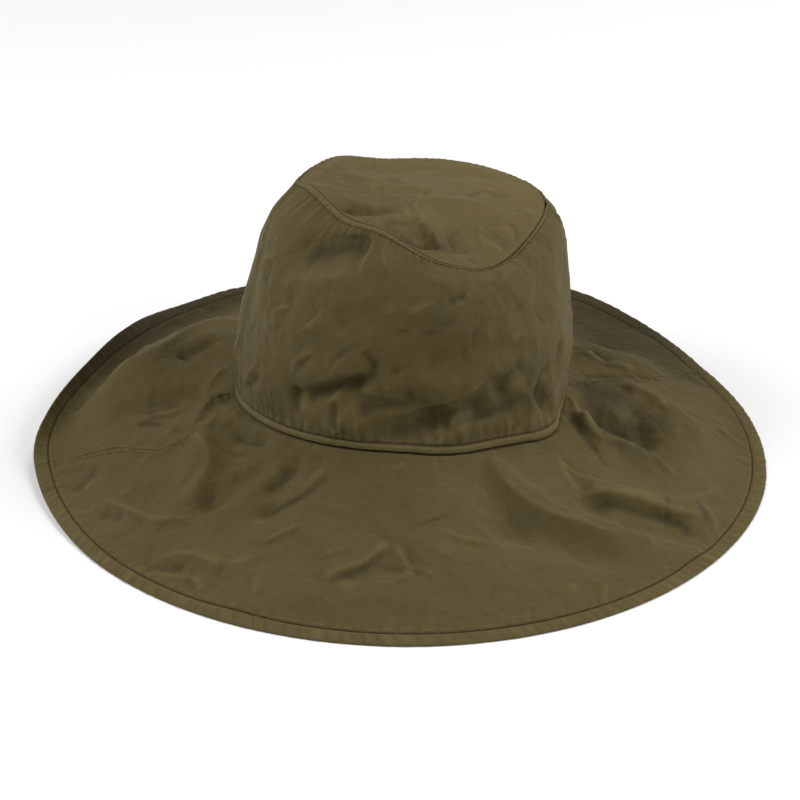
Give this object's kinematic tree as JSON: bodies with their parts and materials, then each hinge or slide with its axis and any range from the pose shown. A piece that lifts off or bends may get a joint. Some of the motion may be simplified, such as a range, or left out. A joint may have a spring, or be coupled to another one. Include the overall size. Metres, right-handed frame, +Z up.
{
  "type": "wide-brim cotton sun hat",
  "caption": "Soft cotton sun hat with a sewn crown and a wide floppy brim with a turned hem, lying open side down.",
  "frame": {"origin": "on the surface that the hat rests on, under the middle of its box", "axes": "+Z up out of the top of the crown, -Y towards the wearer's front, +X to the right as seen from the front"},
  "size_m": [0.4068, 0.4136, 0.1605],
  "materials": {
    "cotton": "washed olive cotton twill, matt, with fine creases"
  },
  "bodies": {
    "root": {"crown_tip": "cotton", "crown_front": "cotton", "crown_back": "cotton", "brim_front": "cotton", "brim_back": "cotton", "brim_hem": "cotton"}
  },
  "joints": []
}
